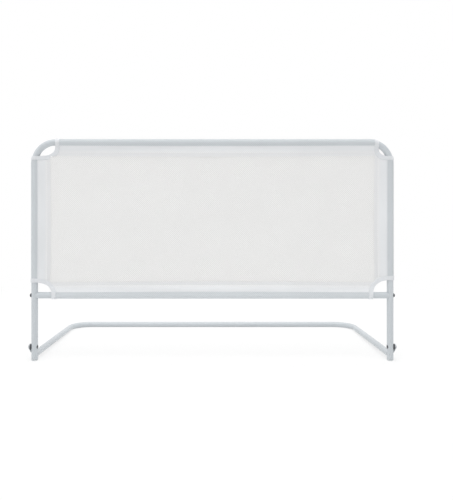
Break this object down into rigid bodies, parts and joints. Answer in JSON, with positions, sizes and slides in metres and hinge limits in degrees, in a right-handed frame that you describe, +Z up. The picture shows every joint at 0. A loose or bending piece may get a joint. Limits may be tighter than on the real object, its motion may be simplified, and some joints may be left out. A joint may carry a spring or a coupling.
{
  "type": "folding bed guard rail",
  "caption": "Free-standing guard rail for a bed side: a bent tube frame with a stretched net, and a bent tube base that goes under the mattress and folds flat behind the frame.",
  "frame": {"origin": "centre of the footprint, on the surface that the feet and the base's far bar stand on", "axes": "+Z up; +X along the rail; +Y from the guard frame towards the base's far bar, under the mattress"},
  "size_m": [0.916, 0.4125, 0.5519],
  "materials": {
    "white_powder_coat": "smooth white powder coat, semi gloss",
    "net": "fine white warp-knit net",
    "net_hem": "the same net folded double",
    "binding_tape": "white ribbed binding tape",
    "dark_steel": "black zinc plate",
    "zinc_steel": "bright zinc plate",
    "black_plastic": "matt black nylon",
    "pale_plastic": "off-white moulded plastic"
  },
  "bodies": {
    "guard_frame": {"guard_frame_tube": "white_powder_coat", "crossbar_tube": "white_powder_coat", "mesh_panel": "net", "sleeve_left": "net_hem", "sleeve_right": "net_hem", "sleeve_top": "net_hem", "sleeve_bottom": "net_hem", "corner_binding_top_left": "binding_tape", "corner_binding_top_right": "binding_tape", "corner_binding_bottom_left": "binding_tape", "corner_binding_bottom_right": "binding_tape", "crossbar_plug_left": "black_plastic", "crossbar_plug_right": "black_plastic", "crossbar_screw_left": "dark_steel", "crossbar_screw_right": "dark_steel", "foot_cap_left": "pale_plastic", "foot_cap_right": "pale_plastic", "pivot_bolt_left": "zinc_steel", "pivot_bolt_right": "zinc_steel", "pivot_washer_left": "black_plastic", "pivot_washer_right": "black_plastic", "pivot_nut_left": "dark_steel", "pivot_nut_right": "dark_steel"},
    "base": {"base_tube": "white_powder_coat", "base_end_plug_left": "pale_plastic", "base_end_plug_right": "pale_plastic", "hinge_plate_left": "white_powder_coat", "hinge_plate_right": "white_powder_coat", "plate_rivet_left_1": "zinc_steel", "plate_rivet_left_2": "zinc_steel", "plate_rivet_right_1": "zinc_steel", "plate_rivet_right_2": "zinc_steel"}
  },
  "joints": [
    {"name": "base_fold", "type": "hinge", "parent": "guard_frame", "child": "base", "pos_m": [0, -0.19635, 0.034], "axis": [1, 0, 0], "range_deg": [0, 91]}
  ]
}
